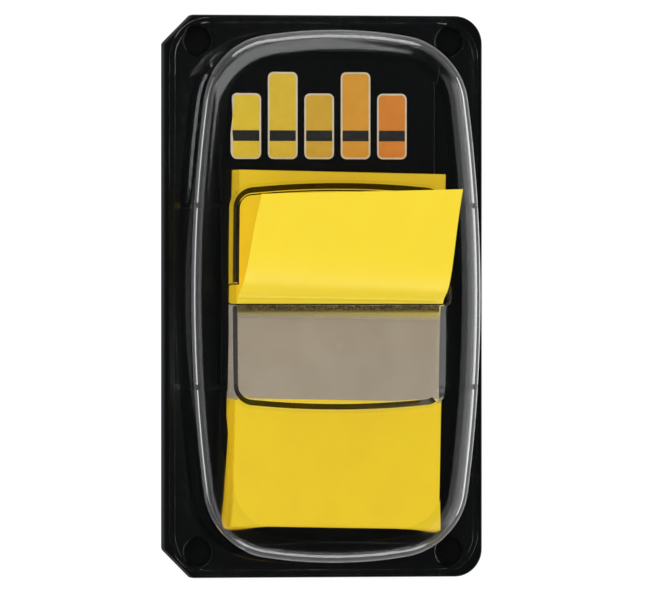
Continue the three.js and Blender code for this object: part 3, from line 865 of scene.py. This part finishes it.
def cover_face(polygon):
    """Which finish a face of the cover has, by where it lies and how far it is tilted.

    Each part of the cover bends light by its own amount, so that the white table isn't mirrored in the
    walls from within and the black base stays dark through them. The inner faces, the side walls, the
    left shoulder and the recess's edges also have darker tints than the clear plastic: painted shade.
    """
    x, y, z = polygon.center / MM
    across, along, tilt = polygon.normal
    steep = abs(tilt) < LEVEL_TILT
    sideways = abs(across) / math.sqrt(max(0.0001, 1 - tilt * tilt))
    beside = sideways > BESIDE_SHARE
    outward = across * x / FLANGE_HALF_WIDTH + along * y / FLANGE_HALF_LENGTH

    by_rib = abs(abs(y) - RIB_Y) < RIB_THICKNESS
    near_chamber = CHAMBER_HALF_WIDTH - 0.1 < abs(x) < CHAMBER_HALF_WIDTH + 0.3
    rib_side = by_rib and abs(along) > 0.6
    rib_end = by_rib and near_chamber and abs(across) > 0.3 and abs(tilt) < 0.5
    gate_mark = math.hypot(x, y - GATE_Y) < GATE_RADIUS + 2 * FACE_MARGIN and z > PANEL_TOP
    peg_pad = math.hypot(abs(x) - PEG_X, abs(y) - PEG_Y) < PEG_PAD_RADIUS + FACE_MARGIN

    over_panel = abs(x) < EDGE_REACH_X and abs(y) < EDGE_REACH_Y
    flattest = 0.97 if z < PANEL_TOP - 0.005 else 0.80
    recess_side = PANEL_UNDERSIDE + 0.02 < z < CROWN - 0.02 and -0.3 < tilt < flattest
    lit_side = x > RECESS_LIT_X and y < SLOT_LIP - OPENING_EDGE and sideways > CORNER_SHARE
    past_corner_x = abs(x) > FLANGE_HALF_WIDTH - FLANGE_CORNER
    lip_corner = past_corner_x and abs(y) > FLANGE_HALF_LENGTH - FLANGE_CORNER
    low_left = x < 0 and y < 0 and abs(across) > 0.4

    if gate_mark:
        return END_FACE
    if rib_end:
        return WALL_FACE
    # The recess's sloping and cut faces get the near-black tint, painted shade for the dark outline. On
    # the right, below the lip, they stay plainly clear.
    if over_panel and recess_side:
        return CLEAR_FACE if lit_side else EDGE_FACE
    if peg_pad and steep:
        return WALL_FACE
    if z < FLANGE_TOP + FACE_MARGIN:
        return INSIDE_FACE if steep and not lip_corner else CLEAR_FACE
    if not rib_side and tilt < 0.9 and (outward < -0.02 or -LEVEL_TILT < tilt < -0.1):
        return INSIDE_FACE
    if rib_side or over_panel or peg_pad:
        return CLEAR_FACE
    if (low_left or beside) and abs(tilt) < WALL_TILT:
        return WALL_FACE
    if beside and abs(tilt) < BROW_TILT and x < 0:
        return LEFT_FACE
    if not beside and abs(tilt) < BROW_TILT:
        return END_FACE
    if z > CROWN - SHOULDER_RISE and 0 < tilt < 0.985:
        return SHOULDER_FACE
    return CLEAR_FACE


# The inside, edge, wall and left finishes are tinted darker than the clear plastic: painted shade.
cover_finishes = [
    clear_styrene("clear_styrene", CLEAR, 0.02, 0.07),
    clear_styrene("clear_styrene_inside_shaded", CLEAR_INSIDE_SHADED, 0.06, 0.12, INSIDE_IOR),
    clear_styrene("clear_styrene_edge_shaded", EDGE_PAINTED_SHADE, 0.08, 0.14, EDGE_IOR),
    clear_styrene("clear_styrene_wall_shaded", CLEAR_WALL_SHADED, 0.03, 0.08, WALL_IOR),
    clear_styrene("clear_styrene_end", CLEAR, 0.06, 0.11, END_IOR),
    clear_styrene("clear_styrene_left_shaded", CLEAR_LEFT_SHADED, 0.13, 0.18),
    clear_styrene("clear_styrene_shoulder", CLEAR, 0.13, 0.18),
]
cover = finished("clear_cover", cover, cover_finishes[CLEAR_FACE])
for finish in cover_finishes[1:]:
    cover.data.materials.append(finish)
for polygon in cover.data.polygons:
    polygon.material_index = cover_face(polygon)
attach(cover, "root")
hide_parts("cover")


# Stippled lip, partly painted shade
# A fine stipple on the underside of the thumb panel, along the lip that the film is drawn over. It is
# moulded with the cover and holds the film back a little. Its dark dots are also painted shade: the shade
# under the lip where the film bends up through the slot.
STIPPLE_WIDTH = 1.15
DENSE_WIDTH = 0.62
STIPPLE_HALF_LENGTH = 12.85
STIPPLE_HEIGHT = 0.04
STIPPLE_SETBACK = 0.12
STIPPLE_CORNER = 0.1
STIPPLE_SEAT = 0.005
STIPPLE_DARK_AND_SHADE = (0.016, 0.012, 0.004, 1)
STIPPLE_BROWN = (0.20, 0.135, 0.025, 1)


def stipple_finish():
    """Dark dots that lie close at the lip and thin out away from it, partly painted shade under the lip.
    """
    material, tree, shader = new_finish("stippled_lip_and_shade")
    dots = texture(tree, (5200, 5200, 5200), 2, 0.6)
    pale = ranged(tree, dots, 0.46, 0.64, 0, 1)
    tree.links.new(between(tree, pale, STIPPLE_DARK_AND_SHADE, STIPPLE_BROWN), shader.inputs["Base Color"])
    place = tree.nodes.new("ShaderNodeTexCoord")
    axes = tree.nodes.new("ShaderNodeSeparateXYZ")
    tree.links.new(place.outputs["Object"], axes.inputs["Vector"])
    lip = SLOT_LIP * MM
    near = ranged(tree, axes.outputs["Y"], lip - STIPPLE_WIDTH * MM, lip - DENSE_WIDTH * MM, 0, 1)
    tree.links.new(near, shader.inputs["Alpha"])
    shader.inputs["Roughness"].default_value = 0.5
    return material


stipple_y = SLOT_LIP - STIPPLE_SETBACK - STIPPLE_WIDTH / 2
stipple_outline = round_rectangle(STIPPLE_HALF_LENGTH, STIPPLE_WIDTH / 2, STIPPLE_CORNER, 0, stipple_y, 3)
stipple = prism(stipple_outline, PANEL_UNDERSIDE - STIPPLE_HEIGHT, PANEL_UNDERSIDE - STIPPLE_SEAT)
stipple = finished("stippled_lip_and_shade", stipple, stipple_finish())
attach(stipple, "root")


# Studio
# A white table that turns up into a low round backdrop, far enough out to stay behind every view,
# and soft lamps at the sides and ends. The flat faces look up at a dark ceiling, so black stays black.
TABLE_RADIUS = 1.6
BACKDROP_BEND = 0.4
BACKDROP_HEIGHT = 0.9
TABLE_GLOW = 0.84
TABLE_LIT = 0.26
TABLE_BOUNCE = 0.75
CEILING_LIGHT = 0.02
BACKDROP_STEPS = 12
TURNS = 96
# Each lamp has its name, its place, width and length in metres, and its power in watts. Then comes
# whether it shows in reflections, and whether it lights matt faces.
LAMPS = [
    ("head_lamp", (-0.144, 0.309, 0.366), 0.70, 0.30, 1.95, True, True),
    ("low_head_lamp", (0.0, 0.52, 0.08), 0.60, 0.15, 2.00, True, True),
    ("right_lamp", (0.46, -0.05, 0.17), 0.50, 0.32, 0.95, True, True),
    ("right_fill_lamp", (0.34, -0.05, 0.35), 0.50, 0.18, 0.20, True, True),
    ("low_foot_lamp", (0.05, -0.52, 0.08), 0.60, 0.13, 1.60, True, True),
    ("fill_lamp", (-0.24, -0.14, 0.42), 0.50, 0.50, 1.55, False, True),
    ("left_strip_lamp", (-0.41, -0.03, 0.22), 0.60, 0.10, 0.34, True, False),
]

table_profile = [(0.0, 0.0), (TABLE_RADIUS / 2, 0.0), (TABLE_RADIUS, 0.0)]
for i in range(1, BACKDROP_STEPS + 1):
    turn = math.pi / 2 * i / BACKDROP_STEPS
    radius = TABLE_RADIUS + BACKDROP_BEND * math.sin(turn)
    table_profile.append((radius, BACKDROP_BEND * (1 - math.cos(turn))))
table_profile.append((TABLE_RADIUS + BACKDROP_BEND, BACKDROP_HEIGHT))
table_points = [(0, 0, 0)]
table_faces = []
for radius, height in table_profile[1:]:
    for i in range(TURNS):
        angle = 2 * math.pi * i / TURNS
        table_points.append((radius * math.cos(angle), radius * math.sin(angle), height))
for i in range(TURNS):
    j = (i + 1) % TURNS
    table_faces.append((0, 1 + i, 1 + j))
    for ring in range(len(table_profile) - 2):
        a = 1 + ring * TURNS
        table_faces.append((a + i, a + TURNS + i, a + TURNS + j, a + j))
table_mesh = bpy.data.meshes.new("table")
table_mesh.from_pydata(table_points, [], table_faces)
table_mesh.polygons.foreach_set("use_smooth", [True] * len(table_faces))
table = bpy.data.objects.new("table", table_mesh)
bpy.context.collection.objects.link(table)

table_paint = bpy.data.materials.new("table_paint")
table_paint.use_nodes = True
tree = table_paint.node_tree
tree.nodes.clear()
seen_shade = tree.nodes.new("ShaderNodeBsdfDiffuse")
seen_shade.inputs["Color"].default_value = (TABLE_LIT, TABLE_LIT, TABLE_LIT, 1)
glow = tree.nodes.new("ShaderNodeEmission")
glow.inputs["Strength"].default_value = TABLE_GLOW
seen = tree.nodes.new("ShaderNodeAddShader")
tree.links.new(seen_shade.outputs["BSDF"], seen.inputs[0])
tree.links.new(glow.outputs["Emission"], seen.inputs[1])
bounce = tree.nodes.new("ShaderNodeBsdfDiffuse")
bounce.inputs["Color"].default_value = (TABLE_BOUNCE, TABLE_BOUNCE, TABLE_BOUNCE, 1)
path = tree.nodes.new("ShaderNodeLightPath")
either = tree.nodes.new("ShaderNodeMath")
either.operation = "MAXIMUM"
tree.links.new(path.outputs["Is Glossy Ray"], either.inputs[0])
tree.links.new(path.outputs["Is Transmission Ray"], either.inputs[1])
looked_at = tree.nodes.new("ShaderNodeMath")
looked_at.operation = "MAXIMUM"
tree.links.new(path.outputs["Is Camera Ray"], looked_at.inputs[0])
tree.links.new(either.outputs["Value"], looked_at.inputs[1])
choice = tree.nodes.new("ShaderNodeMixShader")
tree.links.new(looked_at.outputs["Value"], choice.inputs["Fac"])
tree.links.new(bounce.outputs["BSDF"], choice.inputs[1])
tree.links.new(seen.outputs["Shader"], choice.inputs[2])
output = tree.nodes.new("ShaderNodeOutputMaterial")
tree.links.new(choice.outputs["Shader"], output.inputs["Surface"])
table.data.materials.append(table_paint)

for name, place, width, length, power, mirrored, shines in LAMPS:
    lamp_data = bpy.data.lights.new(name, "AREA")
    lamp_data.shape = "RECTANGLE"
    lamp_data.size = width
    lamp_data.size_y = length
    lamp_data.energy = power
    lamp = bpy.data.objects.new(name, lamp_data)
    lamp.location = place
    lamp.rotation_euler = (Vector(place) * -1).to_track_quat("-Z", "Y").to_euler()
    lamp.visible_glossy = mirrored
    lamp.visible_transmission = mirrored and shines
    lamp.visible_diffuse = shines
    bpy.context.collection.objects.link(lamp)

world = bpy.data.worlds.new("ceiling")
world.use_nodes = True
world.node_tree.nodes["Background"].inputs["Color"].default_value = (1, 1, 1, 1)
world.node_tree.nodes["Background"].inputs["Strength"].default_value = CEILING_LIGHT
bpy.context.scene.world = world
bpy.context.scene.view_settings.view_transform = "Standard"
